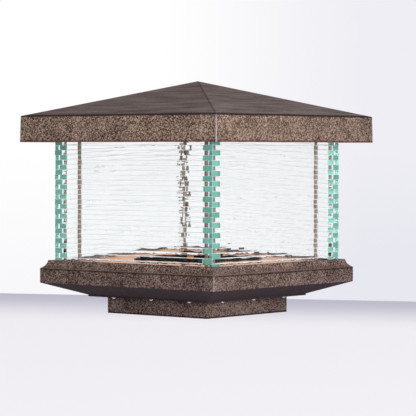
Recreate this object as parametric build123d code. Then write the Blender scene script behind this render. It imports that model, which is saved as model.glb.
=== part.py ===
from build123d import *
import os

# Deck lantern: a glass-strip tower between a moulded base and a lift-off pyramid roof.
# Millimetres, +Z up, origin at the middle of the foot's underside. The front faces -Y.

# Foot and mounting plate
foot_side = 158.0
foot_height = 20.5
foot_wall = 3.0
foot_corner_radius = 1.5
plate_play = 0.5
plate_thickness = 5.0
plate_corner_radius = 4.0
deck_hole_diameter = 5.5
deck_hole_spacing = 110.0
cable_hole_diameter = 20.0
cable_bore_diameter = 12.0
bush_flange_width = 3.0
bush_flange_thickness = 2.0
set_screw_diameter = 4.0
set_screw_socket = 2.0
set_screw_socket_depth = 1.8

# Flange ring that joins the foot to the base pan
flange_reach = 16.75
flange_thickness = 2.0
flange_inner_step = 1.0
foot_screw_diameter = 3.0
foot_screw_head = 6.0
foot_screw_head_height = 2.2
foot_screw_pitch = 60.0
foot_nut_width = 5.5
foot_nut_height = 2.4
foot_screw_tail = 0.6

# Base pan: sheet with a bevelled underside, an upright band and a top return
pan_sheet = 2.0
bevel_rise = 15.2
band_height = 17.7
pan_return_width = 20.0
pan_edge_radius = 0.8

# Ledge mouldings with a cove outside and a rabbet for the glass
cove_height = 9.8
cove_width = 7.25
cove_depth = 1.7
ledge_lip = 6.0
glass_sink = 3.0
glass_play = 0.5
floor_bearing = 6.0
moulding_screw_diameter = 3.0
moulding_screw_head = 5.5
moulding_screw_head_height = 2.0
moulding_screw_spacing = 160.0
screw_tip_cover = 1.8
moulding_screw_inset = 12.0

# Glass tower: courses of flat strips laid as a pinwheel, each course turned the other way
glass_side = 249.0
strip_thickness = 6.0
strip_width = 12.0
course_count = 25
butt_gap = 2.0
gasket_thickness = 1.0

# Floor plate
floor_thickness = 2.0
floor_play = 1.0
floor_screw_spacing = 140.0

# Lamp tray, bracket, holder and lamp
tray_rim_side = 106.0
tray_rim_width = 5.5
tray_sheet = 1.5
tray_depth = 32.0
tray_play = 0.5
lamp_screw_diameter = 2.5
lamp_screw_head = 4.5
lamp_screw_head_height = 1.6
lamp_screw_length = 5.0
bracket_sheet = 1.2
bracket_width = 14.0
bracket_span = 18.0
bracket_foot_length = 7.0
bracket_height = 9.0
lamp_offset = -8.5
holder_length = 17.0
holder_depth = 10.0
holder_height = 12.0
holder_edge_radius = 1.0
bracket_head_play = 0.5
pin_diameter = 0.75
pin_spacing = 4.0
pin_length = 7.5
pin_play = 0.15
pin_hole_spare = 1.0
pinch_length = 9.0
pinch_depth = 5.0
pinch_height = 4.0
capsule_diameter = 9.0
capsule_length = 10.5

# Lamp leads, grommet and twist-on connectors
wire_diameter = 2.0
wire_spacing = 2.4
wire_drop_offset = 25.0
wire_bend_radius = 8.0
wire_entry = 2.0
wire_exit_height = 3.0
grommet_hole_diameter = 10.0
grommet_bore_diameter = 5.2
grommet_flange_width = 2.0
grommet_flange_thickness = 1.5
connector_mouth_radius = 4.6
connector_tip_radius = 3.0
connector_length = 16.0
connector_grip = 8.0
connector_spare = 1.0
connector_start = 12.0

# Tie rods with nuts and washers
rod_diameter = 4.5
rod_thread_diameter = 4.0
rod_thread_run = 4.0
rod_tail = 1.3
rod_nut_width = 7.0
rod_nut_height = 3.2
rod_washer_diameter = 9.0
rod_washer_thickness = 0.8
rod_side_play = 0.5

# Top frame
frame_thickness = 3.0
frame_width = 39.5

# Roof
roof_overhang = 30.5
roof_lap = 2.2
fascia_height = 32.0
fascia_draft = 0.8
roof_rise = 43.5
roof_sheet = 2.0
fascia_return = 9.0
roof_edge_radius = 1.2
bearer_width = 12.0
bearer_height = 6.0
bearer_inset = 3.5
bearer_end_play = 0.2
guide_play = 0.5
guide_drop = 2.6
guide_thickness = 2.0
stop_length = 4.0
lug_width = 20.0
lug_spacing = 120.0

# Cross recess of every screw, as shares of its head
recess_span_share = 0.55
recess_slot_share = 0.12
recess_depth_share = 0.4

# Running clearances shared by all fasteners, on the radius
hole_play = 0.2
thread_play = 0.05

# Heights, from the ground up
pan_bottom = foot_height + flange_thickness
band_bottom = pan_bottom + bevel_rise
band_top = band_bottom + band_height
ledge_top = band_top + cove_height
glass_bottom = ledge_top - glass_sink
bed_level = glass_bottom - gasket_thickness
floor_top = bed_level + floor_thickness
glass_top = glass_bottom + course_count * strip_thickness
frame_bottom = glass_top + gasket_thickness
frame_top = frame_bottom + frame_thickness
fascia_bottom = glass_top - roof_lap
fascia_top = fascia_bottom + fascia_height
roof_apex = fascia_top + roof_rise

# Distances from the middle to a face or an axis
foot_half = foot_side / 2
foot_inner = foot_half - foot_wall
plate_half = foot_inner - plate_play
flange_half = foot_half + flange_reach
flange_inner = foot_inner - flange_inner_step
foot_screw_line = (foot_half + flange_half) / 2
glass_half = glass_side / 2
glass_inner = glass_half - strip_width
ledge_half = glass_half + ledge_lip
band_half = ledge_half + cove_width
rabbet_edge = glass_half + glass_play
floor_half = glass_inner - floor_play
ledge_inner = floor_half - floor_bearing
rod_line = ledge_inner - rod_washer_diameter / 2 - rod_side_play
floor_screw_line = ledge_inner + floor_bearing / 2
moulding_screw_line = band_half - moulding_screw_inset
moulding_screw_grip = bed_level - band_top - screw_tip_cover
tray_rim_half = tray_rim_side / 2
tray_half = tray_rim_half - tray_rim_width
tray_screw_line = tray_rim_half - tray_rim_width / 2
roof_half = glass_half + roof_overhang

# Lamp heights and places
tray_bottom = floor_top - tray_depth
tray_floor = tray_bottom + tray_sheet
bracket_top = tray_floor + bracket_height
lamp_seat = bracket_top + holder_height
bracket_screw_line = (bracket_span + bracket_foot_length) / 2
bracket_inner = bracket_span / 2 - bracket_sheet
holder_screw_line = bracket_inner - lamp_screw_head / 2 - bracket_head_play
lead_level = bracket_top + wire_exit_height
connector_level = plate_thickness + connector_mouth_radius + hole_play


def block(x_range, y_range, z_range):
    """Box between two values on each axis."""
    spans = [x_range, y_range, z_range]
    middle = [(low + high) / 2 for low, high in spans]
    size = [high - low for low, high in spans]
    return Pos(*middle) * Box(*size)


def square_plate(half, bottom, top):
    """Square plate about the middle."""
    return block((-half, half), (-half, half), (bottom, top))


def square_ring(outer, inner, bottom, top):
    """Square plate with a square opening."""
    return square_plate(outer, bottom, top) - square_plate(inner, bottom, top)


def rod(x, y, bottom, top, radius):
    """Upright round bar."""
    return Pos(x, y, (bottom + top) / 2) * Cylinder(radius, top - bottom)


def four_ways(shape):
    """The same shape on each of the four sides: front, right, back and left."""
    return [Rot(0, 0, quarter * 90) * shape for quarter in range(4)]


def corners(offset):
    """The four corner points of a square about the middle."""
    return [(x, y) for x in (-offset, offset) for y in (-offset, offset)]


def side_spots(line, places):
    """Points along each of the four sides, at one distance from the middle."""
    spots = []
    for place in places:
        spots += [(place, -line), (line, place), (-place, line), (-line, -place)]
    return spots


def drilled(shape, spots, radius, bottom, top):
    """Shape with round upright holes at the given points."""
    return shape - [rod(x, y, bottom, top, radius) for x, y in spots]


def group(solids):
    """Separate solids kept together in one node."""
    return Compound(children=list(solids))


def mitred_front(outline):
    """Front side of a square ring: an outline of (distance out, height), run along X and mitred."""
    reach = outline.bounding_box().max.X
    section = Plane(origin=(0, 0, 0), x_dir=(0, -1, 0), z_dir=(-1, 0, 0)) * outline
    bar = extrude(section, reach, both=True)
    bottom = outline.bounding_box().min.Y
    top = outline.bounding_box().max.Y
    wedge = make_face(Polyline((0, 0), (-reach, -reach), (reach, -reach), close=True))
    return bar & Pos(0, 0, bottom) * extrude(wedge, top - bottom)


def mitred_ring(outline):
    """Whole square ring from one outline, its four mitred sides joined."""
    front, right, back, left = four_ways(mitred_front(outline))
    return front + right + back + left


def bent_sheet(points, thickness):
    """Outline of a bent sheet: a line of points thickened to its left."""
    return make_face(Polyline(*points).wire().offset_2d(thickness, kind=Kind.INTERSECTION, side=Side.LEFT))


def pan_head_screw(diameter, head, head_height, length):
    """Pan-head screw with a cross recess, its shank up from the origin and its head below."""
    rim = head_height / 3
    rise = head_height - rim
    dome_radius = ((head / 2) ** 2 + rise**2) / (2 * rise)
    ball = Pos(0, 0, dome_radius - head_height) * Sphere(dome_radius)
    body = rod(0, 0, -head_height, 0, head / 2) & ball
    recess_depth = head_height * recess_depth_share
    arm = Box(head * recess_span_share, head * recess_slot_share, recess_depth)
    recess = Pos(0, 0, -head_height + recess_depth / 2) * (arm + Rot(0, 0, 90) * arm)
    return body + rod(0, 0, 0, length, diameter / 2) - recess


def hex_nut(width, height, thread):
    """Hexagon nut standing on the origin, with a clear thread bore."""
    prism = extrude(RegularPolygon(width / 2, 6, major_radius=False), height)
    return prism - rod(0, 0, 0, height, thread / 2 + thread_play)


# Mounting plate, cable bush and set screws
def make_mounting_plate():
    plate = square_plate(plate_half, 0, plate_thickness)
    plate = fillet(plate.edges().filter_by(Axis.Z), plate_corner_radius)
    plate = drilled(plate, corners(deck_hole_spacing / 2), deck_hole_diameter / 2, 0, plate_thickness)
    return plate - rod(0, 0, 0, plate_thickness, cable_hole_diameter / 2)


def make_cable_bush():
    neck = cable_hole_diameter / 2 - thread_play
    flange_radius = cable_hole_diameter / 2 + bush_flange_width
    bush_top = plate_thickness + bush_flange_thickness
    bush = rod(0, 0, 0, plate_thickness, neck) + rod(0, 0, plate_thickness, bush_top, flange_radius)
    return bush - rod(0, 0, 0, bush_top, cable_bore_diameter / 2)


def set_screw_places():
    """Set screws stand on the back and left sides, at the plate's mid height, pointing inwards."""
    middle = plate_thickness / 2
    back = Plane(origin=(0, foot_half, middle), z_dir=(0, -1, 0))
    left = Plane(origin=(-foot_half, 0, middle), z_dir=(1, 0, 0))
    return [back.location, left.location]


def make_set_screws():
    length = foot_half - plate_half
    screw = extrude(Circle(set_screw_diameter / 2), length)
    screw -= extrude(RegularPolygon(set_screw_socket / 2, 6, major_radius=False), set_screw_socket_depth)
    return group(place * screw for place in set_screw_places())


# Foot collar, flange, screws and nuts
def make_foot_collar():
    block_shape = square_plate(foot_half, 0, foot_height)
    block_shape = fillet(block_shape.edges().filter_by(Axis.Z), foot_corner_radius)
    collar = block_shape - square_plate(foot_inner, 0, foot_height)
    hole = extrude(Circle(set_screw_diameter / 2 + thread_play), foot_wall)
    return collar - [place * hole for place in set_screw_places()]


def foot_screw_spots():
    return side_spots(foot_screw_line, (-foot_screw_pitch, 0, foot_screw_pitch))


def make_foot_flange():
    flange = square_ring(flange_half, flange_inner, foot_height, pan_bottom)
    return drilled(flange, foot_screw_spots(), foot_screw_diameter / 2 + hole_play, foot_height, pan_bottom)


def make_foot_screws():
    length = flange_thickness + pan_sheet + foot_nut_height + foot_screw_tail
    screw = pan_head_screw(foot_screw_diameter, foot_screw_head, foot_screw_head_height, length)
    return group(Pos(x, y, foot_height) * screw for x, y in foot_screw_spots())


def make_foot_nuts():
    nut = hex_nut(foot_nut_width, foot_nut_height, foot_screw_diameter)
    return group(Pos(x, y, pan_bottom + pan_sheet) * nut for x, y in foot_screw_spots())


# Base pan
def moulding_screw_spots():
    half = moulding_screw_spacing / 2
    return side_spots(moulding_screw_line, (-half, half))


def make_base_pan():
    outline = bent_sheet(
        [
            (flange_inner, pan_bottom),
            (flange_half, pan_bottom),
            (band_half, band_bottom),
            (band_half, band_top),
            (band_half - pan_return_width, band_top),
        ],
        pan_sheet,
    )
    pan = mitred_ring(outline)
    inner_top = pan_bottom + pan_sheet
    pan = drilled(pan, foot_screw_spots(), foot_screw_diameter / 2 + hole_play, pan_bottom, inner_top)
    screw_hole = moulding_screw_diameter / 2 + hole_play
    pan = drilled(pan, moulding_screw_spots(), screw_hole, band_top - pan_sheet, band_top)
    upright = pan.edges().filter_by(Axis.Z).group_by(lambda e: round(abs(e.center().X), 3))[-1]
    return fillet(upright, pan_edge_radius)


# Ledge mouldings and the screws that hold them on the pan
def make_moulding_front():
    across = Vector(cove_width, -cove_height).normalized()
    inward = Vector(across.Y, -across.X)
    chord_middle = Vector((ledge_half + band_half) / 2, (ledge_top + band_top) / 2)
    cove_middle = chord_middle + inward * cove_depth
    cove = ThreePointArc(
        (ledge_half, ledge_top), (cove_middle.X, cove_middle.Y), (band_half, band_top)
    )
    straight = Polyline(
        (band_half, band_top),
        (ledge_inner, band_top),
        (ledge_inner, bed_level),
        (rabbet_edge, bed_level),
        (rabbet_edge, ledge_top),
        (ledge_half, ledge_top),
    )
    moulding = mitred_front(make_face(cove + straight))
    hole_top = band_top + moulding_screw_grip
    screw_hole = moulding_screw_diameter / 2 + thread_play
    moulding = drilled(moulding, moulding_screw_spots(), screw_hole, band_top, hole_top)
    return drilled(moulding, floor_screw_spots(), screw_hole, bed_level - moulding_screw_grip, bed_level)


def make_moulding_screws():
    length = pan_sheet + moulding_screw_grip
    screw = pan_head_screw(
        moulding_screw_diameter, moulding_screw_head, moulding_screw_head_height, length
    )
    return group(Pos(x, y, band_top - pan_sheet) * screw for x, y in moulding_screw_spots())


# Glass courses and their gaskets
def make_course(number):
    first = glass_half - strip_width - butt_gap
    span = (-first, glass_half) if number % 2 else (-glass_half, first)
    bottom = glass_bottom + (number - 1) * strip_thickness
    strip = block(span, (-glass_half, -glass_inner), (bottom, bottom + strip_thickness))
    return group(four_ways(strip))


def make_gasket(bottom):
    return square_ring(glass_half, glass_inner, bottom, bottom + gasket_thickness)


# Floor plate and its screws
def floor_screw_spots():
    half = floor_screw_spacing / 2
    return side_spots(floor_screw_line, (-half, half))


def make_floor_plate():
    plate = square_ring(floor_half, tray_half + tray_play, bed_level, floor_top)
    rod_hole = rod_thread_diameter / 2 + hole_play
    plate = drilled(plate, corners(rod_line), rod_hole, bed_level, floor_top)
    screw_hole = moulding_screw_diameter / 2 + hole_play
    plate = drilled(plate, floor_screw_spots(), screw_hole, bed_level, floor_top)
    tray_hole = lamp_screw_diameter / 2 + thread_play
    return drilled(plate, corners(tray_screw_line), tray_hole, bed_level, floor_top)


def make_floor_screws():
    length = floor_thickness + moulding_screw_grip
    screw = pan_head_screw(
        moulding_screw_diameter, moulding_screw_head, moulding_screw_head_height, length
    )
    down = Rot(180, 0, 0) * screw
    return group(Pos(x, y, floor_top) * down for x, y in floor_screw_spots())


# Lamp tray, bracket, holder and their screws
def make_lamp_tray():
    rim = square_plate(tray_rim_half, floor_top, floor_top + tray_sheet)
    box = square_plate(tray_half, tray_bottom, floor_top)
    hollow = square_plate(tray_half - tray_sheet, tray_floor, floor_top + tray_sheet)
    tray = rim + box - hollow
    screw_hole = lamp_screw_diameter / 2 + hole_play
    tray = drilled(tray, corners(tray_screw_line), screw_hole, floor_top, floor_top + tray_sheet)
    thread_hole = lamp_screw_diameter / 2 + thread_play
    spots = [(x + lamp_offset, y) for x, y in bracket_screw_spots()]
    tray = drilled(tray, spots, thread_hole, tray_bottom, tray_floor)
    return tray - beside(rod(0, wire_drop_offset, tray_bottom, tray_floor, grommet_hole_diameter / 2))


def beside(shape):
    """A piece of the lamp group, moved to the group's place beside the tray's middle."""
    return Pos(lamp_offset, 0, 0) * shape


def bracket_screw_spots():
    return [(-bracket_screw_line, 0), (bracket_screw_line, 0)]


def holder_screw_spots():
    return [(-holder_screw_line, 0), (holder_screw_line, 0)]


def make_lamp_bracket():
    foot_end = bracket_span / 2 + bracket_foot_length
    outline = bent_sheet(
        [
            (-foot_end, tray_floor),
            (-bracket_inner, tray_floor),
            (-bracket_inner, bracket_top - bracket_sheet),
            (bracket_inner, bracket_top - bracket_sheet),
            (bracket_inner, tray_floor),
            (foot_end, tray_floor),
        ],
        bracket_sheet,
    )
    bracket = extrude(Plane.XZ * outline, bracket_width / 2, both=True)
    screw_hole = lamp_screw_diameter / 2 + hole_play
    bracket = drilled(bracket, bracket_screw_spots(), screw_hole, tray_floor, tray_floor + bracket_sheet)
    return drilled(bracket, holder_screw_spots(), screw_hole, bracket_top - bracket_sheet, bracket_top)


def make_lamp_holder():
    half_depth = holder_depth / 2
    holder = block(
        (-holder_length / 2, holder_length / 2), (-half_depth, half_depth), (bracket_top, lamp_seat)
    )
    holder = fillet(holder.edges().filter_by(Axis.Z), holder_edge_radius)
    pin_hole = pin_diameter / 2 + pin_play
    holder = drilled(holder, pin_spots(), pin_hole, lamp_seat - pin_length - pin_hole_spare, lamp_seat)
    thread_hole = lamp_screw_diameter / 2 + thread_play
    thread_top = bracket_top - bracket_sheet + lamp_screw_length
    holder = drilled(holder, holder_screw_spots(), thread_hole, bracket_top, thread_top)
    lead_hole = extrude(Circle(wire_diameter / 2 + thread_play), wire_entry)
    for x in (-wire_spacing / 2, wire_spacing / 2):
        place = Plane(origin=(x, half_depth, lead_level), z_dir=(0, -1, 0))
        holder -= place.location * lead_hole
    return holder


def make_lamp_screws():
    screw = pan_head_screw(lamp_screw_diameter, lamp_screw_head, lamp_screw_head_height, lamp_screw_length)
    down = Rot(180, 0, 0) * screw
    rim_top = floor_top + tray_sheet
    screws = [Pos(x, y, rim_top) * down for x, y in corners(tray_screw_line)]
    screws += [beside(Pos(x, y, tray_floor + bracket_sheet) * down) for x, y in bracket_screw_spots()]
    screws += [beside(Pos(x, y, bracket_top - bracket_sheet) * screw) for x, y in holder_screw_spots()]
    return group(screws)


# Lamp capsule and pins, which pull out upwards together
def pin_spots():
    return [(-pin_spacing / 2, 0), (pin_spacing / 2, 0)]


def make_lamp_capsule():
    pinch = block(
        (-pinch_length / 2, pinch_length / 2),
        (-pinch_depth / 2, pinch_depth / 2),
        (lamp_seat, lamp_seat + pinch_height),
    )
    radius = capsule_diameter / 2
    shoulder = lamp_seat + pinch_height
    crown = shoulder + capsule_length - radius
    return pinch + rod(0, 0, shoulder, crown, radius) + Pos(0, 0, crown) * Sphere(radius)


def make_lamp_pins():
    pins = [rod(x, y, lamp_seat - pin_length, lamp_seat, pin_diameter / 2) for x, y in pin_spots()]
    return group(beside(pin) for pin in pins)


# Leads from the holder through the grommet to the connectors on the mounting plate
def make_tray_grommet():
    neck = rod(0, 0, tray_bottom, tray_floor, grommet_hole_diameter / 2 - thread_play)
    flange_radius = grommet_hole_diameter / 2 + grommet_flange_width
    low = tray_bottom - grommet_flange_thickness
    high = tray_floor + grommet_flange_thickness
    body = neck + rod(0, 0, low, tray_bottom, flange_radius) + rod(0, 0, tray_floor, high, flange_radius)
    return Pos(0, wire_drop_offset, 0) * (body - rod(0, 0, low, high, grommet_bore_diameter / 2))


def make_lamp_leads():
    x = wire_spacing / 2
    route = FilletPolyline(
        (x, holder_depth / 2 - wire_entry, lead_level),
        (x, wire_drop_offset, lead_level),
        (x, wire_drop_offset, connector_level),
        (connector_start + connector_grip, wire_drop_offset, connector_level),
        radius=wire_bend_radius,
    )
    section = Plane(origin=route @ 0, z_dir=route % 0) * Circle(wire_diameter / 2)
    lead = sweep(section, path=route)
    return group([beside(lead), beside(mirror(lead, about=Plane.YZ))])


def make_wire_connectors():
    profile = Polyline(
        (0, 0),
        (connector_mouth_radius, 0),
        (connector_tip_radius, connector_length),
        (0, connector_length),
        close=True,
    )
    body = revolve(Plane.XZ * make_face(profile), Axis.Z)
    body -= rod(0, 0, 0, connector_grip + connector_spare, wire_diameter / 2 + thread_play)
    place = Plane(origin=(connector_start, wire_drop_offset, connector_level), z_dir=(1, 0, 0))
    connector = place.location * body
    return group([beside(connector), beside(mirror(connector, about=Plane.YZ))])


# Tie rods with their nuts and washers
def make_tie_rods():
    low = bed_level - rod_washer_thickness - rod_nut_height - rod_tail
    shoulder = frame_bottom - rod_thread_run
    high = frame_top + rod_washer_thickness + rod_nut_height + rod_tail
    thread = rod_thread_diameter / 2
    rods = []
    for x, y in corners(rod_line):
        shaft = rod(x, y, floor_top, shoulder, rod_diameter / 2)
        rods.append(shaft + rod(x, y, low, floor_top, thread) + rod(x, y, shoulder, high, thread))
    return group(rods)


def make_rod_nuts():
    nut = hex_nut(rod_nut_width, rod_nut_height, rod_thread_diameter)
    levels = [bed_level - rod_washer_thickness - rod_nut_height, frame_top + rod_washer_thickness]
    return group(Pos(x, y, level) * nut for level in levels for x, y in corners(rod_line))


def make_rod_washers():
    levels = [bed_level - rod_washer_thickness, frame_top]
    inner = rod_thread_diameter / 2 + hole_play
    washers = []
    for level in levels:
        for x, y in corners(rod_line):
            top = level + rod_washer_thickness
            disc = rod(x, y, level, top, rod_washer_diameter / 2)
            washers.append(disc - rod(x, y, level, top, inner))
    return group(washers)


def make_top_frame():
    frame = square_ring(glass_half, glass_half - frame_width, frame_bottom, frame_top)
    return drilled(frame, corners(rod_line), rod_thread_diameter / 2 + hole_play, frame_bottom, frame_top)


# Roof shell, bearers and guiding lugs, which lift off together
def make_roof_shell():
    outline = bent_sheet(
        [
            (roof_half - fascia_return, fascia_bottom),
            (roof_half, fascia_bottom),
            (roof_half - fascia_draft, fascia_top),
            (0, roof_apex),
        ],
        roof_sheet,
    )
    middle_side = block((0, roof_half), (fascia_bottom, roof_apex), (-1, 1))
    outline = outline & middle_side
    roof = mitred_ring(outline.face())
    eave = roof.edges().group_by(lambda e: round(abs(e.center().Z - fascia_top), 3))[0]
    return fillet(eave, roof_edge_radius)


def make_roof_bearers():
    outer = glass_half - bearer_inset
    top = frame_top + bearer_height
    lean = fascia_draft * (top - fascia_bottom) / fascia_height
    reach = roof_half - lean - roof_sheet - bearer_end_play
    bar = block((outer - bearer_width, outer), (-reach, reach), (frame_top, top))
    stop_start = glass_half + guide_play
    stop = block(
        (outer - bearer_width, outer),
        (stop_start, stop_start + stop_length),
        (frame_top - guide_drop, frame_top),
    )
    bearer = bar + stop + mirror(stop, about=Plane.XZ)
    return group([bearer, mirror(bearer, about=Plane.YZ)])


def make_roof_lugs():
    bar_top = frame_top + bearer_height
    seat_start = glass_half - bearer_inset - bearer_width
    leg_start = glass_half + guide_play
    leg_end = leg_start + guide_thickness
    lugs = []
    for middle in (-lug_spacing / 2, lug_spacing / 2):
        along = (middle - lug_width / 2, middle + lug_width / 2)
        seat = block((seat_start, leg_end), along, (bar_top, bar_top + guide_thickness))
        lug = seat + block((leg_start, leg_end), along, (frame_top - guide_drop, bar_top))
        lugs += [lug, mirror(lug, about=Plane.YZ)]
    return group(lugs)


def make_all():
    """Every node by name."""
    nodes = {
        "mounting_plate": make_mounting_plate(),
        "cable_bush": make_cable_bush(),
        "set_screws": make_set_screws(),
        "foot_collar": make_foot_collar(),
        "foot_flange": make_foot_flange(),
        "foot_screws": make_foot_screws(),
        "foot_nuts": make_foot_nuts(),
        "base_pan": make_base_pan(),
        "moulding_screws": make_moulding_screws(),
        "bed_gasket": make_gasket(bed_level),
        "floor_plate": make_floor_plate(),
        "floor_screws": make_floor_screws(),
        "lamp_tray": make_lamp_tray(),
        "lamp_bracket": beside(make_lamp_bracket()),
        "lamp_holder": beside(make_lamp_holder()),
        "lamp_screws": make_lamp_screws(),
        "lamp_capsule": beside(make_lamp_capsule()),
        "lamp_pins": make_lamp_pins(),
        "tray_grommet": beside(make_tray_grommet()),
        "lamp_leads": make_lamp_leads(),
        "wire_connectors": make_wire_connectors(),
        "tie_rods": make_tie_rods(),
        "tie_rod_nuts": make_rod_nuts(),
        "tie_rod_washers": make_rod_washers(),
        "top_gasket": make_gasket(glass_top),
        "top_frame": make_top_frame(),
        "roof_shell": make_roof_shell(),
        "roof_bearers": make_roof_bearers(),
        "roof_lugs": make_roof_lugs(),
    }
    sides = ["front", "right", "back", "left"]
    for side, moulding in zip(sides, four_ways(make_moulding_front())):
        nodes["ledge_moulding_" + side] = moulding
    for number in range(1, course_count + 1):
        nodes[f"glass_course_{number:02d}"] = make_course(number)
    return nodes


os.makedirs("parts", exist_ok=True)
for node, shape in make_all().items():
    export_step(shape, f"parts/{node}.step")
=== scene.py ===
"""Deck lantern: the finishes, the glass tower and the stage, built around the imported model."""

import math
import random
from functools import partial

import bmesh
import bpy
from mathutils import Matrix, Vector


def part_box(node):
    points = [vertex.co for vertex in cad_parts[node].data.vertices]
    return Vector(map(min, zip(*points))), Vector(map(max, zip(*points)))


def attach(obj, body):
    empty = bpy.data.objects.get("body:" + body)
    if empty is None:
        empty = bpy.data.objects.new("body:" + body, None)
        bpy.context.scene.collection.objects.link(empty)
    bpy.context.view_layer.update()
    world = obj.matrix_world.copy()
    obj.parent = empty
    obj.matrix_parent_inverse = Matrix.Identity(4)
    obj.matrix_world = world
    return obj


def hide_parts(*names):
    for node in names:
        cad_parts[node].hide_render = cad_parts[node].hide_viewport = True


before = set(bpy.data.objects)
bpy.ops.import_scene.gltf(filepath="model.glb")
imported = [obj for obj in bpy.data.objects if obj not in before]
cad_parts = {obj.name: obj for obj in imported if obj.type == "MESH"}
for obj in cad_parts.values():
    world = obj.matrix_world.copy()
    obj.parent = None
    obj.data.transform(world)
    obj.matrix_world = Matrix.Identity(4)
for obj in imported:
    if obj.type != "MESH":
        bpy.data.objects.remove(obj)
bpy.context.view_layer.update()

bl_info = {
    "name": "Deck lantern",
    "version": (1, 0, 0),
    "blender": (4, 5, 0),
    "location": "3D View > Sidebar > Lantern",
    "description": "Dresses the packed deck lantern and sets its stage",
    "category": "Object",
}

MM = 0.001
FULL_TURN = 2 * math.pi
PHOTO_SIDE = 416
WELD = 0.001 * MM
GLASS_IOR = 1.52
COURSES = sorted(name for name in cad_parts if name.startswith("glass_course"))
MOULDINGS = sorted(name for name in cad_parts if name.startswith("ledge_moulding"))

# How strongly each mark shows in the coat of a solid
COAT_MARKS = {
    "roof_shell": {"slope": 0.75, "fold": 0.85, "seam": 0.9, "hip": 0.65, "worn": 0.85},
    "base_pan": {"seam": 0.75, "worn": 0.45},
    "foot_collar": {"seam": 0.9},
    **{moulding: {"rim": 0.35} for moulding in MOULDINGS},
}

# Settings that several shader nodes share
SMOOTH = {"interpolation_type": "SMOOTHSTEP"}
RGBA = {"data_type": "RGBA"}


def linear(hex_colour):
    """Linear RGBA of an sRGB hex colour."""
    channels = [int(hex_colour[place:place + 2], 16) / 255 for place in (1, 3, 5)]
    return [c / 12.92 if c <= 0.04045 else ((c + 0.055) / 1.055) ** 2.4 for c in channels] + [1.0]


def colour(name, hex_colour, description):
    """Colour property with a default given in sRGB."""
    return bpy.props.FloatVectorProperty(
        name=name, description=description, default=linear(hex_colour), size=4, subtype="COLOR", min=0, max=1)


def length(name, millimetres, description):
    """Length property with a default given in millimetres."""
    return bpy.props.FloatProperty(
        name=name, description=description, default=millimetres * MM, unit="LENGTH", subtype="DISTANCE",
        precision=5)


def angle(name, degrees, description):
    """Angle property with a default given in degrees."""
    return bpy.props.FloatProperty(
        name=name, description=description, default=math.radians(degrees), subtype="ANGLE")


def number(name, value, description, unit="NONE"):
    """Property of a plain number or a power."""
    return bpy.props.FloatProperty(name=name, description=description, default=value, unit=unit)


def position(name, metres, description):
    """Property of a point with a default given in metres."""
    return bpy.props.FloatVectorProperty(
        name=name, description=description, default=metres, size=3, subtype="TRANSLATION")


class LanternSizes(bpy.types.PropertyGroup):
    air_film: length("Air film", 0.02, "Air above and below each glass strip")
    strip_arris: length("Strip arris", 0.15, "Height of the arris ground along a strip's long edges")
    end_arris: length("End arris", 0.4, "Chamfer on the upright edges of a strip's cut end")
    cut_scatter: length("Cut scatter", 0.45, "How far a strip's end may miss its mark")
    lay_scatter: length("Lay scatter", 0.2, "How far a strip may lie in or out of line")
    face_wave: length("Face wave", 0.02, "Depth of the ripple along a snapped face")
    face_lean: length("Face lean", 0.07, "How far the snap stands out at a face's lower edge")
    face_tilt: length("Face tilt", 0.015, "How far that lean wanders along a face")
    face_hollow: length("Face hollow", 0.012, "Depth of the hollow that the snap leaves along a face")
    snap_wave: length("Snap wave", 9, "Length of the fine ripples along a snapped glass face")
    snap_depth: length("Snap depth", 0.18, "Depth of the fine ripples along a snapped glass face")
    wave_length: length("Wave length", 34, "Longest ripple on a snapped face")
    ring_step: length("Ring step", 5, "Spacing of the mesh rings along a strip")
    grit: length("Grit", 1.15, "Width of one fleck in the coat, drawn as coarse as it needs to be to show")
    dust: length("Dust", 0.7, "Width of the fine grain between the flecks")
    cloud: length("Cloud", 28, "Width of the slow patches of tone in the coat")
    coat_relief: length("Coat relief", 0.12, "Height of the coat's texture")
    # The bare metal on worn corners is partly a painted edge highlight
    worn_corner: length("Worn corner", 1.4, "Width of the bare metal on a folded corner, to each side")
    fold_line: length("Fold line", 1.5, "Width of the thin coat along the roof's lower edge")
    fascia: length("Fascia", 32, "Height of the roof's upright sides")
    # The dark line is painted shade in the seams, and a painted contact shadow along the foot's lower edge
    seam: length("Seam", 1.3, "Width of the dark line in a seam, to each side")
    hip: length("Hip", 1.8, "Width of the dark line along the roof's hips, to each side")
    # The streaks on the slopes are painted sheen
    streak: length("Streak", 2.2, "Height of the streaks that the spray leaves along the roof's slopes")
    # This pale line is a painted highlight
    rim: length("Rim", 1.2, "Height of the pale line along the ledge's lower edge")
    edge_round: length("Edge round", 0.45, "Rounding of the sheet metal's edges")
    thread_pitch: length("Thread pitch", 0.7, "Pitch of the tie rods' threads")
    thread_depth: length("Thread depth", 0.25, "Depth of the tie rods' threads")
    pinch: length("Pinch", 4, "Height of the lamp's flat seal")
    coil: length("Coil", 3.2, "Length of the lamp's filament")
    coil_wire: length("Coil wire", 0.1, "Radius of the filament's wire, drawn thicker so that it shows")


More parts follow.
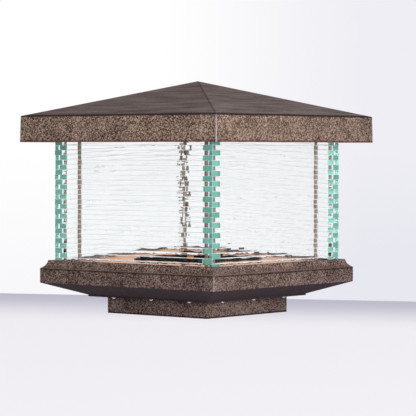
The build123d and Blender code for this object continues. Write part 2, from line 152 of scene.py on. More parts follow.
class LanternColours(bpy.types.PropertyGroup):
    coat_dark: colour("Coat dark", "#302325", "Darkest flecks of the powder coat")
    coat_low: colour("Coat low", "#56443e", "Dark brown of the powder coat")
    coat_mid: colour("Coat mid", "#7e695e", "Middle brown of the powder coat")
    coat_high: colour("Coat high", "#aa907f", "Tan flecks of the powder coat")
    coat_light: colour("Coat light", "#cbb5a2", "Palest flecks of the powder coat")
    # Painted sheen and shade on the roof's up-facing slopes; the pale streaks below are painted sheen too
    coat_top: colour("Coat top", "#726464", "Coat of the roof's slopes, which levels out smooth in the oven")
    coat_streak: colour("Coat streak", "#ad9d9c", "Pale streaks on the roof's slopes")
    # Bare metal on worn corners, partly a painted edge highlight
    bare_metal: colour("Bare metal", "#b9adb1", "Metal that shows on a worn corner")
    # Red-brown line along the roof's lower edge
    fold_brown: colour("Fold brown", "#5a332d", "Thin coat along a folded edge")
    # Painted shade in the seams and painted contact shadow along the foot's lower edge; the roof's hips take
    # it too
    seam_dark: colour("Seam dark", "#24171a", "Dark line in a seam")
    # Painted shade on faces that look down and on the whole foot flange
    coat_under: colour("Coat under", "#372a31", "First coat, which shows where the second did not reach")
    # The base is tinted darker than the roof, and the ledge a little less dark
    roof_tone: colour("Roof tone", "#ffffff", "Tint of the roof's batch of coat")
    base_tone: colour("Base tone", "#d4d2dc", "Tint of the base's batch of coat, which is darker")
    cove_tone: colour("Cove tone", "#e6e4ec", "Tint of the ledge's batch of coat")
    glass_clear: colour("Glass", "#feffff", "Tint of one glass face")
    glass_gloss: colour("Glass gloss", "#3f3f3f", "Strength of what a glass face mirrors")
    glass_end: colour("Glass end", "#8bcfc1", "Light that a strip's end gives off")
    glass_end_deep: colour("Deep glass end", "#63a79a", "Darker ends")
    # Also the colour of the long arris's painted glow
    arris_long: colour("Long arris", "#e9eeef", "Ground edge along a strip")
    arris_end: colour("End arris", "#8accbd", "Ground edge of a strip's end")
    rod_brown: colour("Rod brown", "#766a61", "Enamel of the tie rods")
    copper: colour("Copper", "#f3cbb2", "Floor sheet")
    # Near black, which also stands in for the shade inside the tray's recess
    tray_black: colour("Tray black", "#17120f", "Enamel of the lamp tray")
    amber: colour("Amber", "#e5854f", "Lamp envelope")
    stainless: colour("Stainless", "#d6d1cf", "Screws")
    zinc: colour("Zinc", "#aeb2b6", "Plated steel")
    rubber: colour("Rubber", "#2a2a2b", "Gaskets, bush and grommet")
    steatite: colour("Steatite", "#e6dfd0", "Lamp holder")
    nickel: colour("Nickel", "#d5d0c6", "Lamp pins")
    lead_black: colour("Lead black", "#1b1b1d", "Lamp leads")
    connector_orange: colour("Connector orange", "#d2601d", "Wire connectors")
    tungsten: colour("Tungsten", "#8d8a88", "Lamp filament")
    floor_near: colour("Near floor", "#f8f6fb", "Stage floor in front of the lantern")
    floor_far: colour("Far floor", "#c6c2d3", "Stage floor behind the lantern")
    backdrop: colour("Backdrop", "#ffffff", "White behind the object")
    room: colour("Room", "#8e7f75", "Room beside and before the lantern, which glass and metal mirror")
    backdrop_shade: colour("Backdrop shade", "#e8e8f0", "Pale shade low on the backdrop and at its right")


class StageSettings(bpy.types.PropertyGroup):
    azimuth: angle("Azimuth", 39.249, "Turn of the camera round the lantern")
    pitch: angle("Pitch", 1.48, "How far the camera looks down")
    roll: angle("Roll", 0.068, "Lean of the camera")
    distance: length("Distance", 2733, "Camera to the lantern's middle, level")
    eye_height: length("Eye height", 199.6, "Camera above the floor")
    eye_side: length("Eye side", 12.744, "Camera to the right of the line to the lantern")
    focal_pixels: number("Focal length in pixels", 2211.85, "Focal length on a picture of 416 pixels")
    sensor: number("Sensor", 36.0, "Sensor width of the camera in millimetres")
    key_power: number("Key", 101.0, "Power of the soft light at the right", "POWER")
    key_spot: position("Key place", (2.72, -1.3, 0.32), "Middle of the soft light at the right")
    key_side: length("Key side", 1600, "Width of the soft light at the right")
    fill_power: number("Fill", 18.0, "Power of the soft light at the left", "POWER")
    fill_spot: position("Fill place", (0.0, -2.85, 0.3), "Middle of the soft light at the left")
    fill_side: length("Fill side", 1800, "Width of the soft light at the left")
    aim_height: length("Aim height", 150, "Height of the point that both lights face")
    ambient: number("Ambient", 0.17, "Strength of the even light from all round")
    floor_back: length("Floor back", 270, "How far the floor reaches behind the lantern")
    floor_turn: angle("Floor turn", 16, "Turn of the floor's back edge against the camera")
    floor_front: length("Floor front", 1500, "How far the floor reaches in front of the lantern")
    floor_side: length("Floor side", 1300, "How far the floor reaches to each side")
    floor_drop: length("Floor drop", 0.05, "How far the floor lies below the foot's face")
    floor_white: number("Floor white", 0.88, "Share of the floor's tone that light and shadow leave as it is")


# Nodes and materials

def node(tree, kind, settings=None, inputs=None, stops=None):
    """Add a shader node with its settings, the values or links of its inputs, and a ramp's stops.

    An input goes by its name or number, and a node that is given for it stands for its first output in use.
    """
    new = tree.nodes.new(kind)
    for name, value in (settings or {}).items():
        setattr(new, name, value)
    for name, value in (inputs or {}).items():
        named = [socket for socket in new.inputs if socket.enabled and socket.name == name]
        target = named[0] if named else new.inputs[name]
        if isinstance(value, bpy.types.Node):
            value = next(socket for socket in value.outputs if socket.enabled)
        if isinstance(value, bpy.types.NodeSocket):
            tree.links.new(value, target)
        else:
            target.default_value = value
    if stops:
        points = new.color_ramp.elements
        while len(points) < len(stops):
            points.new(1.0)
        for point, (place, tone) in zip(points, stops):
            point.position = place
            point.color = tone
    return new


def finish(maker, *details):
    """Material of a maker function, made the first time that it is asked for."""
    name = "_".join([maker.__name__, *details])
    made = bpy.data.materials.get(name)
    if made is None:
        made = bpy.data.materials.new(name)
        made.use_nodes = True
        made.node_tree.nodes.clear()
        add = partial(node, made.node_tree)
        place = add("ShaderNodeTexCoord").outputs["Object"]
        shader = maker(add, place, bpy.context.scene.lantern_colours, *details)
        add("ShaderNodeOutputMaterial", inputs={"Surface": shader})
    return made


def uneven_gloss(add, place, look, patch, smooth, dull, detail=2.0):
    """Surface whose gloss wanders between smooth and dull, in patches as wide as patch, in millimetres."""
    patches = add("ShaderNodeTexNoise", inputs={"Vector": place, "Scale": 1 / (patch * MM), "Detail": detail})
    rough = add("ShaderNodeMapRange", inputs={"Value": patches, "To Min": smooth, "To Max": dull})
    return add("ShaderNodeBsdfPrincipled", inputs={**look, "Roughness": rough})


def fine_relief(add, texture, look, depth, strength):
    """Surface with the relief of a texture, whose depth is in metres."""
    relief = add("ShaderNodeBump", inputs={"Height": texture, "Distance": depth, "Strength": strength})
    return add("ShaderNodeBsdfPrincipled", inputs={**look, "Normal": relief})


def granite_powder_coat(add, place, tones, solid):
    """Granite-effect powder coat, sprayed in two tones and baked: tan and dark flecks, matt and rough."""
    sizes = bpy.context.scene.lantern_sizes
    low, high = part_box(solid)
    is_roof = solid == "roof_shell"
    marks = COAT_MARKS.get(solid, {})
    flecks = add("ShaderNodeTexVoronoi", inputs={"Vector": place, "Scale": 1 / sizes.grit})
    fleck = add("ShaderNodeSeparateColor", inputs={"Color": flecks.outputs["Color"]}).outputs["Red"]
    dust = add("ShaderNodeTexNoise", inputs={"Vector": place, "Scale": 1 / sizes.dust})
    cloud = add("ShaderNodeTexNoise", inputs={"Vector": place, "Scale": 1 / sizes.cloud, "Detail": 3.0})
    grain = add("ShaderNodeMix", {"data_type": "FLOAT"}, {"Factor": 0.4, "A": fleck, "B": dust})
    patch = add("ShaderNodeMapRange", inputs={
        "Value": cloud, "From Min": 0.3, "From Max": 0.7, "To Min": -0.08, "To Max": 0.08})
    level = add("ShaderNodeMath", {"operation": "ADD"}, {0: grain, 1: patch})
    # The base and the ledge take a darker tint than the roof
    piece_tint = tones.roof_tone if is_roof else tones.cove_tone if solid in MOULDINGS else tones.base_tone
    spread = [(0.16, tones.coat_dark), (0.36, tones.coat_low), (0.52, tones.coat_mid),
              (0.68, tones.coat_high), (0.86, tones.coat_light)]
    spray = add("ShaderNodeValToRGB", inputs={"Fac": level}, stops=[
        (stop, [channel * tint for channel, tint in zip(shade, piece_tint)]) for stop, shade in spread])

    # Faces that look down take a plain dark tone as painted shade, and the foot flange takes it all over as
    # painted shade.
    underside_shade_strength = 0.88
    facing = add("ShaderNodeSeparateXYZ", inputs={
        "Vector": add("ShaderNodeNewGeometry").outputs["True Normal"]}).outputs["Z"]
    under = add("ShaderNodeMapRange", inputs={
        "Value": facing, "From Min": -0.35, "From Max": -0.1, "To Min": underside_shade_strength,
        "To Max": underside_shade_strength if solid == "foot_flange" else 0.0})

    # The roof's slopes, picked by their upward facing, take a smoother grey tone with pale level streaks:
    # painted sheen and shade.
    slope_sheen_share = add("ShaderNodeMapRange", inputs={
        "Value": facing, "From Min": 0.4, "From Max": 0.7, "To Max": marks.get("slope", 0.0)})
    lines = add("ShaderNodeMapping", inputs={"Vector": place, "Scale": (0.04, 0.04, 1.0)})
    streaks = add("ShaderNodeTexNoise", inputs={"Vector": lines, "Scale": 1 / sizes.streak, "Detail": 3.0})
    streaked = add("ShaderNodeMapRange", inputs={"Value": streaks, "From Min": 0.3, "From Max": 0.7})
    slope = add("ShaderNodeMix", RGBA, {"Factor": streaked, "A": tones.coat_top, "B": tones.coat_streak})

    # A red-brown line runs along the roof's lower edge. Seams get a dark line of painted shade, the foot's
    # lower edge a painted contact shadow, and the hips a dark line.
    spot = add("ShaderNodeSeparateXYZ", inputs={"Vector": place})
    height = spot.outputs["Z"]
    ragged = add("ShaderNodeMath", {"operation": "MULTIPLY_ADD"}, {0: fleck, 1: sizes.fold_line, 2: height})
    seam_height = {"roof_shell": low.z + sizes.fascia, "base_pan": high.z}.get(solid, low.z)
    off_seam = add("ShaderNodeMath", {"operation": "SUBTRACT"}, {0: height, 1: seam_height})
    beside_seam = add("ShaderNodeMath", {"operation": "ABSOLUTE"}, {0: off_seam})
    across = add("ShaderNodeMath", {"operation": "ABSOLUTE"}, {0: spot.outputs["X"]})
    along = add("ShaderNodeMath", {"operation": "ABSOLUTE"}, {0: spot.outputs["Y"]})
    off_hip = add("ShaderNodeMath", {"operation": "SUBTRACT"}, {0: across, 1: along})
    beside_hip = add("ShaderNodeMath", {"operation": "ABSOLUTE"}, {0: off_hip})

    # The ledge's lower edge gets a pale line, a painted highlight. Upright corners of the roof and the band
    # show bare metal, partly worn metal and partly a painted edge highlight.
    rim_highlight_height = add("ShaderNodeMath", {"operation": "MULTIPLY_ADD"}, {0: dust, 1: sizes.rim, 2: height})
    nearer = add("ShaderNodeMath", {"operation": "MINIMUM"}, {0: across, 1: along})
    rub = add("ShaderNodeTexNoise", inputs={"Vector": place, "Scale": 1 / (5 * sizes.grit), "Detail": 3.0})
    corner_wear_and_highlight = add("ShaderNodeMath", {"operation": "MULTIPLY_ADD"}, {0: rub, 1: sizes.worn_corner, 2: nearer})

    # Each of these marks is whole at the first of its two places and gone at the second.
    places = {
        "fold": (ragged, low.z + sizes.fold_line, low.z + 3 * sizes.fold_line),
        "seam": (beside_seam, (0.5 if is_roof else 1.0) * sizes.seam, (1.5 if is_roof else 1.8) * sizes.seam),
        "hip": (beside_hip, 0.5 * sizes.hip, 1.5 * sizes.hip),
        "rim": (rim_highlight_height, low.z + sizes.rim, low.z + 1.6 * sizes.rim),
        "worn": (corner_wear_and_highlight, high.x - 0.1 * sizes.worn_corner, high.x - 0.9 * sizes.worn_corner),
    }
    shares = {}
    for mark, (where, whole, gone) in places.items():
        shares[mark] = add("ShaderNodeMapRange", SMOOTH, {
            "Value": where, "From Min": whole, "From Max": gone,
            "To Min": marks.get(mark, 0.0), "To Max": 0.0})
    on_slope = add("ShaderNodeMath", {"operation": "MULTIPLY"}, {0: shares["hip"], 1: slope_sheen_share})
    dark = add("ShaderNodeMath", {"operation": "MAXIMUM"}, {0: shares["seam"], 1: on_slope})

    coat = spray
    layers = [(under, tones.coat_under), (slope_sheen_share, slope), (shares["fold"], tones.fold_brown),
              (dark, tones.seam_dark), (shares["rim"], tones.coat_high), (shares["worn"], tones.bare_metal)]
    for share, shade in layers:
        coat = add("ShaderNodeMix", RGBA, {"Factor": share, "A": coat, "B": shade})
    return fine_relief(add, level, {"Base Color": coat, "Roughness": 0.78, "Specular IOR Level": 0.12},
                       depth=sizes.coat_relief, strength=0.6)


def clear_float_glass(add, place, tones):
    """Float glass scored and snapped into strips: clear, faintly green, glossy, with fine upright ripples."""
    sizes = bpy.context.scene.lantern_sizes
    upright = add("ShaderNodeMapping", inputs={"Vector": place, "Scale": (1.0, 1.0, 0.15)})
    course = add("ShaderNodeObjectInfo").outputs["Random"]
    own = add("ShaderNodeVectorMath", {"operation": "MULTIPLY_ADD"}, {
        0: course, 1: (0.0, 0.0, 10.0), 2: upright})
    ripples = add("ShaderNodeTexNoise", inputs={"Vector": own, "Scale": 1 / sizes.snap_wave, "Detail": 1.0})
    body = fine_relief(add, ripples, {
        "Base Color": tones.glass_clear, "Specular Tint": tones.glass_gloss, "Roughness": 0.0,
        "IOR": GLASS_IOR, "Transmission Weight": 1.0}, depth=sizes.snap_depth, strength=1.0)
    through = add("ShaderNodeBsdfTransparent", inputs={"Color": tones.glass_clear})
    ray = add("ShaderNodeLightPath")
    return add("ShaderNodeMixShader", inputs={0: ray.outputs["Is Shadow Ray"], 1: body, 2: through})


def cut_glass_end(add, place, tones):
    """Cut end of a glass strip: light that has run the strip's whole length comes out sea green."""
    low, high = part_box(COURSES[0])
    course = high.z - low.z
    side = high.x
    stack = add("ShaderNodeVectorMath", {"operation": "SUBTRACT"}, {0: place, 1: (0.0, 0.0, low.z)})
    strip = add("ShaderNodeVectorMath", {"operation": "SNAP"}, {0: stack, 1: (side, side, course)})
    tone = add("ShaderNodeTexWhiteNoise", {"noise_dimensions": "3D"}, {"Vector": strip})
    streak = add("ShaderNodeTexNoise", inputs={"Vector": place, "Scale": 1 / (3 * MM)})
    depth = add("ShaderNodeMix", {"data_type": "FLOAT"}, {"Factor": 0.35, "A": tone, "B": streak})
    green = add("ShaderNodeMix", RGBA, {"Factor": depth, "A": tones.glass_end, "B": tones.glass_end_deep})
    cut = add("ShaderNodeBsdfPrincipled", inputs={"Base Color": green, "Roughness": 0.25, "Coat Weight": 0.2})
    inside = add("ShaderNodeBsdfPrincipled", inputs={
        "Base Color": tones.glass_clear, "Roughness": 0.0, "IOR": GLASS_IOR, "Transmission Weight": 1.0})
    facing = add("ShaderNodeNewGeometry")
    return add("ShaderNodeMixShader", inputs={0: facing.outputs["Backfacing"], 1: cut, 2: inside})


def ground_glass_arris(add, place, tones, edge):
    """Arris ground on glass with a stone: pale and frosted, greener on the ends.

    The long edges glow a little: painted light, which stands in for the light that runs inside a strip and
    leaks out along them.
    """
    is_end = edge == "end"
    return uneven_gloss(add, place, {
        "Base Color": tones.arris_end if is_end else tones.arris_long,
        "Emission Color": tones.arris_long, "Emission Strength": 0.0 if is_end else 0.18},
        patch=0.6, smooth=0.35, dull=0.7)


def brown_enamel(add, place, tones):
    """Brown stoving enamel, dipped: satin, with a slight orange peel."""
    peel = add("ShaderNodeTexNoise", inputs={"Vector": place, "Scale": 1 / (1.6 * MM)})
    tone = add("ShaderNodeMix", RGBA, {"Factor": peel, "A": tones.rod_brown, "B": tones.coat_mid})
    return fine_relief(add, peel, {"Base Color": tone, "Roughness": 0.42}, depth=0.05 * MM, strength=0.5)


def satin_copper_sheet(add, place, tones):
    """Rolled copper-tone sheet, satin brushed along one way and lacquered: warm, with soft long streaks."""
    brushed = add("ShaderNodeMapping", inputs={"Vector": place, "Scale": (0.04, 1.0, 1.0)})
    streak = add("ShaderNodeTexNoise", inputs={"Vector": brushed, "Scale": 1 / (0.9 * MM), "Detail": 3.0})
    tone = add("ShaderNodeMix", {"data_type": "RGBA", "blend_type": "MULTIPLY"}, {
        "Factor": 0.25, "A": tones.copper, "B": streak.outputs["Color"]})
    rough = add("ShaderNodeMapRange", inputs={"Value": streak, "To Min": 0.12, "To Max": 0.26})
    return add("ShaderNodeBsdfPrincipled", inputs={
        "Base Color": tone, "Metallic": 1.0, "Roughness": rough, "Specular Tint": tones.copper})


def black_stoving_enamel(add, place, tones):
    """Black stoving enamel on pressed sheet: semi-matt, with fine dust in it."""
    return uneven_gloss(add, place, {"Base Color": tones.tray_black, "Specular IOR Level": 0.1},
                        patch=1.2, smooth=0.7, dull=0.95, detail=4.0)


def stainless_steel(add, place, tones):
    """Stainless steel, cold headed and tumbled: bright, with soft blotches of gloss."""
    return uneven_gloss(add, place, {"Base Color": tones.stainless, "Metallic": 1.0},
                        patch=1.0, smooth=0.1, dull=0.28)


def zinc_plated_steel(add, place, tones):
    """Zinc-plated mild steel: blue-grey, satin, with a faint spangle."""
    spangle = add("ShaderNodeTexVoronoi", inputs={"Vector": place, "Scale": 1 / (4 * MM)})
    shade = add("ShaderNodeMix", {"data_type": "RGBA", "blend_type": "OVERLAY"}, {
        "Factor": 0.18, "A": tones.zinc, "B": spangle.outputs["Color"]})
    grey = add("ShaderNodeHueSaturation", inputs={"Saturation": 0.25, "Color": shade})
    rough = add("ShaderNodeMapRange", inputs={
        "Value": spangle.outputs["Distance"], "To Min": 0.3, "To Max": 0.5})
    return add("ShaderNodeBsdfPrincipled", inputs={"Base Color": grey, "Metallic": 0.9, "Roughness": rough})


def closed_cell_rubber(add, place, tones):
    """Closed-cell rubber, die cut: near black, matt, its pores drawn as coarse as they need to be to show."""
    pores = add("ShaderNodeTexVoronoi", inputs={"Vector": place, "Scale": 1 / (0.7 * MM)})
    return fine_relief(add, pores.outputs["Distance"], {"Base Color": tones.rubber, "Roughness": 0.85},
                       depth=0.1 * MM, strength=0.7)


def glazed_steatite(add, place, tones):
    """Steatite ceramic, pressed, fired and glazed: cream white, glossy, with a slight swim in the glaze."""
    swim = add("ShaderNodeTexNoise", inputs={"Vector": place, "Scale": 1 / (3 * MM)})
    return fine_relief(add, swim, {"Base Color": tones.steatite, "Roughness": 0.2},
                       depth=0.05 * MM, strength=0.4)


def amber_glass(add, place, tones):
    """Amber-stained quartz glass, drawn: clear orange, glossy, with a slight draw line."""
    drawn = add("ShaderNodeMapping", inputs={"Vector": place, "Scale": (1.0, 1.0, 0.1)})
    return uneven_gloss(add, drawn, {"Base Color": tones.amber, "IOR": 1.46, "Transmission Weight": 0.55},
                        patch=1.5, smooth=0.05, dull=0.2)


def nickel_plate(add, place, tones):
    """Nickel-plated wire: warm bright metal, drawn."""
    return uneven_gloss(add, place, {"Base Color": tones.nickel, "Metallic": 1.0},
                        patch=0.5, smooth=0.15, dull=0.3)


def silicone_lead(add, place, tones):
    """Silicone-sleeved lead, extruded: black, with a soft sheen."""
    return uneven_gloss(add, place, {"Base Color": tones.lead_black, "Sheen Weight": 0.2},
                        patch=0.8, smooth=0.5, dull=0.7)


def moulded_polypropylene(add, place, tones):
    """Polypropylene, injection moulded: orange, with a waxy gloss and a fine spark texture."""
    spark = add("ShaderNodeTexNoise", inputs={"Vector": place, "Scale": 1 / (0.4 * MM)})
    return fine_relief(add, spark, {"Base Color": tones.connector_orange, "Roughness": 0.4},
                       depth=0.05 * MM, strength=0.4)


def drawn_tungsten(add, place, tones):
    """Tungsten wire, drawn and coiled: dark grey metal."""
    return uneven_gloss(add, place, {"Base Color": tones.tungsten, "Metallic": 1.0},
                        patch=0.3, smooth=0.25, dull=0.5)


def pale_floor(add, place, tones):
    """Pale matt table top that takes the lantern's shadow, lighter towards the front."""
    stage = bpy.context.scene.lantern_stage
    depth = add("ShaderNodeSeparateXYZ", inputs={"Vector": place})
    far = add("ShaderNodeMapRange", SMOOTH, {
        "Value": depth.outputs["Y"], "From Min": -0.75 * stage.floor_back, "From Max": stage.floor_back})
    tone = add("ShaderNodeMix", RGBA, {"Factor": far, "A": tones.floor_near, "B": tones.floor_far})
    matt = add("ShaderNodeBsdfDiffuse", inputs={"Color": tone})
    glow = add("ShaderNodeEmission", inputs={"Color": tone, "Strength": 1.0})
    ray = add("ShaderNodeLightPath")
    seen = ray.outputs["Is Camera Ray"]
    for kind in ("Is Glossy Ray", "Is Transmission Ray"):
        seen = add("ShaderNodeMath", {"operation": "MAXIMUM"}, {0: seen, 1: ray.outputs[kind]})
    share = add("ShaderNodeMath", {"operation": "MULTIPLY"}, {0: seen, 1: stage.floor_white})
    return add("ShaderNodeMixShader", inputs={0: share, 1: matt, 2: glow})


# Meshes

def new_piece(name, mesh, body, slot, *finishes):
    """Link a mesh as a piece that rides on a body and give it the finishes; the slot is not used."""
    piece = bpy.data.objects.new(name, mesh)
    bpy.context.scene.collection.objects.link(piece)
    for material in finishes:
        mesh.materials.append(material)
    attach(piece, body)
    return piece


def dress(material, *solids):
    """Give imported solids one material."""
    for name in solids:
        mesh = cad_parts[name].data
        mesh.materials.clear()
        mesh.materials.append(material)


def round_edges(width, *solids, sharp_degrees=40):
    """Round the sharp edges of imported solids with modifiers."""
    for name in solids:
        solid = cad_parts[name]
        weld = solid.modifiers.new("weld", "WELD")
        weld.merge_threshold = WELD
        bevel = solid.modifiers.new("edge", "BEVEL")
        bevel.width = width
        bevel.segments = 2
        bevel.limit_method = "ANGLE"
        bevel.angle_limit = math.radians(sharp_degrees)
        bevel.harden_normals = True


def loose_boxes(mesh):
    """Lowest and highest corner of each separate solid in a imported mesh, in order of place."""
    work = bmesh.new()
    work.from_mesh(mesh)
    bmesh.ops.remove_doubles(work, verts=work.verts, dist=WELD)
    boxes = []
    left = set(work.verts)
    while left:
        reached = [left.pop()]
        for vertex in reached:
            for edge in vertex.link_edges:
                other = edge.other_vert(vertex)
                if other in left:
                    left.remove(other)
                    reached.append(other)
        low = Vector([min(vertex.co[axis] for vertex in reached) for axis in range(3)])
        high = Vector([max(vertex.co[axis] for vertex in reached) for axis in range(3)])
        boxes.append((low, high))
    work.free()
    return sorted(boxes, key=lambda box: [round(value / WELD) for value in box[0]])


def ripple(chance, depth, wave_length):
    """A slow random wave: the sum of three sines, as a function of the place along a strip."""
    waves = []
    for order in (1, 1.7, 3.1):
        waves.append((depth / order, FULL_TURN * order / wave_length, chance.uniform(0, FULL_TURN)))
    return lambda place: sum(height * math.sin(rate * place + phase) for height, rate, phase in waves)


def strip_rings(chance, reach, depth, height):
    """Rings of one hand-cut strip along X: flat top and bottom, rippled snapped faces and ground ends."""
    sizes = bpy.context.scene.lantern_sizes
    start = chance.uniform(-1, 1) * sizes.cut_scatter
    end = reach + chance.uniform(-1, 1) * sizes.cut_scatter
    shift = chance.uniform(-1, 1) * sizes.lay_scatter
    faces = ("outer", "inner")
    outer_wave, inner_wave = [ripple(chance, sizes.face_wave, sizes.wave_length) for face in faces]
    outer_tilt, inner_tilt = [ripple(chance, sizes.face_tilt, sizes.wave_length) for face in faces]
    outer_lean, inner_lean = [chance.uniform(0.5, 1.5) * sizes.face_lean for face in faces]
    outer_hollow, inner_hollow = [chance.uniform(0.6, 1.4) * sizes.face_hollow for face in faces]
    steps = max(2, round((end - start) / sizes.ring_step))
    first, last = start + sizes.end_arris, end - sizes.end_arris
    places = [first + (last - first) * step / steps for step in range(steps + 1)]
    low, high = sizes.air_film, height - sizes.air_film
    middle = height / 2
    edge = sizes.strip_arris

    def ring(place, inset):
        out = shift + outer_wave(place) + inset
        into = shift + depth + inner_wave(place) - inset
        lean_out = outer_lean + outer_tilt(place)
        lean_in = inner_lean + inner_tilt(place)
        return [
            (place, out + edge / 3, low), (place, into - edge / 3, low),
            (place, into + lean_in, low + edge), (place, into - inner_hollow, middle),
            (place, into - lean_in, high - edge), (place, into - edge / 3, high),
            (place, out + edge / 3, high), (place, out + lean_out, high - edge),
            (place, out + outer_hollow, middle), (place, out - lean_out, low + edge),
        ]

    rings = [ring(place, 0) for place in places]
    cap_start = [(start, y, z) for _, y, z in ring(first, sizes.end_arris)]
    cap_end = [(end, y, z) for _, y, z in ring(last, sizes.end_arris)]
    return [cap_start, *rings, cap_end]


def add_tube(work, rings, place, cap_slot=0, side_slots=None, rim_slots=None):
    """Skin a row of rings, put in place by a matrix; caps, sides and end rims have slots of their own."""
    rows = [[work.verts.new(place @ Vector(point)) for point in ring] for ring in rings]
    count = len(rows[0])
    last = len(rows) - 2
    for step, (near, far) in enumerate(zip(rows, rows[1:])):
        slots = rim_slots if step in (0, last) else side_slots
        for corner in range(count):
            beside = (corner + 1) % count
            face = work.faces.new((near[corner], far[corner], far[beside], near[beside]))
            face.material_index = slots[corner] if slots else 0
            face.smooth = True
    start = work.faces.new(rows[0])
    end = work.faces.new(list(reversed(rows[-1])))
    start.material_index = end.material_index = cap_slot


def mesh_from(work, name, sharp_degrees):
    """Finish a working mesh, with its sharp edges marked."""
    bmesh.ops.recalc_face_normals(work, faces=work.faces)
    mesh = bpy.data.meshes.new(name)
    work.to_mesh(mesh)
    work.free()
    mesh.set_sharp_from_angle(angle=math.radians(sharp_degrees))
    return mesh


def lathe_rings(profile, around):
    """Rings of a turned shape from a profile of (radius, height)."""
    turns = [FULL_TURN * step / around for step in range(around)]
    return [[(r * math.cos(turn), r * math.sin(turn), z) for turn in turns] for r, z in profile]


def thread_profile(low, high, radius, around, rows_per_pitch=6):
    """Rings of a threaded rod end: each point's radius follows a helix."""
    sizes = bpy.context.scene.lantern_sizes
    rows = max(4, round((high - low) / sizes.thread_pitch * rows_per_pitch))
    rings = []
    for row in range(rows + 1):
        height = low + (high - low) * row / rows
        ring = []
        for step in range(around):
            turn = step / around
            crest = abs(((height - low) / sizes.thread_pitch - turn) % 1 * 2 - 1)
            run_out = min(1, min(height - low, high - height) / sizes.thread_pitch)
            reach = radius - sizes.thread_depth * crest * run_out
            ring.append((reach * math.cos(FULL_TURN * turn), reach * math.sin(FULL_TURN * turn), height))
        rings.append(ring)
    return rings


# Operators, one for each group of like pieces

class LANTERN_OT_roof(bpy.types.Operator):
    """Coat the roof shell and dress the bars and lugs that carry it"""
    bl_idname = "lantern.roof"
    bl_label = "Roof"

    def execute(self, context):
        dress(finish(granite_powder_coat, "roof_shell"), "roof_shell")
        dress(finish(zinc_plated_steel), "roof_bearers", "roof_lugs")
        round_edges(context.scene.lantern_sizes.edge_round, "roof_shell")
        return {"FINISHED"}


class LANTERN_OT_base(bpy.types.Operator):
    """Coat the base pan, the ledge mouldings, the foot and its flange, and dress the mounting plate"""
    bl_idname = "lantern.base"
    bl_label = "Base"

    def execute(self, context):
        for solid in ("base_pan", "foot_collar", "foot_flange", *MOULDINGS):
            dress(finish(granite_powder_coat, solid), solid)
        dress(finish(zinc_plated_steel), "mounting_plate")
        round_edges(context.scene.lantern_sizes.edge_round, "base_pan", "foot_collar", "foot_flange")
        return {"FINISHED"}


class LANTERN_OT_glass(bpy.types.Operator):
    """Lay the courses of hand-cut glass strips in place of the plain ones"""
    bl_idname = "lantern.glass"
    bl_label = "Glass courses"

    seed = 25
    # The finishes of a strip, and which of them its ten sides have along its length and at its ends
    clear, cut, end, long = range(4)
    sides = (clear, long, clear, clear, long, clear, long, clear, clear, long)
    rims = (clear, long, end, end, long, clear, long, end, end, long)

    def execute(self, context):
        chance = random.Random(self.seed)
        finishes = [finish(clear_float_glass), finish(cut_glass_end), finish(ground_glass_arris, "end"),
                    finish(ground_glass_arris, "long")]
        for course in COURSES:
            work = bmesh.new()
            for low, high in loose_boxes(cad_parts[course].data):
                size = high - low
                middle = (low + high) / 2
                quarter = 0 if size.x > size.y else 1
                if (middle.y if quarter == 0 else -middle.x) > 0:
                    quarter += 2
                reach, depth = max(size.x, size.y), min(size.x, size.y)
                turn = Matrix.Rotation(quarter * math.pi / 2, 4, "Z")
                corner = Vector((-reach / 2, -depth / 2, -size.z / 2))
                place = Matrix.Translation(middle) @ turn @ Matrix.Translation(corner)
                rings = strip_rings(chance, reach, depth, size.z)
                add_tube(work, rings, place, self.cut, self.sides, self.rims)
            mesh = mesh_from(work, course + "_strips", sharp_degrees=10)
            piece = new_piece(course.replace("course", "strips"), mesh, "lantern", "glass_strip", *finishes)
            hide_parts(course)
        return {"FINISHED"}


class LANTERN_OT_seals(bpy.types.Operator):
    """Dress the gaskets, the cable bush and the grommet"""
    bl_idname = "lantern.seals"
    bl_label = "Seals"

    def execute(self, context):
        dress(finish(closed_cell_rubber), "bed_gasket", "top_gasket", "cable_bush", "tray_grommet")
        return {"FINISHED"}


class LANTERN_OT_rods(bpy.types.Operator):
    """Make the tie rods with threaded ends, and dress their nuts, washers and top frame"""
    bl_idname = "lantern.rods"
    bl_label = "Tie rods"

    around = 16
    # Width of a thread as a share of its rod's width
    thread_share = 0.89

    def execute(self, context):
        work = bmesh.new()
        shoulder_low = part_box("floor_plate")[1].z
        thread_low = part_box("tie_rod_washers")[0].z
        shoulder_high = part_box("top_frame")[0].z - (shoulder_low - thread_low)
        for low, high in loose_boxes(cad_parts["tie_rods"].data):
            middle = (low + high) / 2
            shaft = (high.x - low.x) / 2
            end = shaft * self.thread_share
            rings = thread_profile(low.z, shoulder_low, end, self.around)
            rings += lathe_rings([(shaft, shoulder_low), (shaft, shoulder_high)], self.around)
            rings += thread_profile(shoulder_high, high.z, end, self.around)
            add_tube(work, rings, Matrix.Translation((middle.x, middle.y, 0)))
        mesh = mesh_from(work, "threaded_tie_rods", sharp_degrees=50)
        rods = new_piece("threaded_tie_rods", mesh, "lantern", "rod_enamel", finish(brown_enamel))
        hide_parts("tie_rods")
        dress(finish(zinc_plated_steel), "tie_rod_nuts", "tie_rod_washers", "top_frame")
        return {"FINISHED"}


class LANTERN_OT_floor_plate(bpy.types.Operator):
    """Dress the copper floor plate, the black lamp tray and its bracket"""
    bl_idname = "lantern.floor_plate"
    bl_label = "Floor plate and tray"

    def execute(self, context):
        dress(finish(satin_copper_sheet), "floor_plate")
        dress(finish(black_stoving_enamel), "lamp_tray", "lamp_bracket")
        return {"FINISHED"}


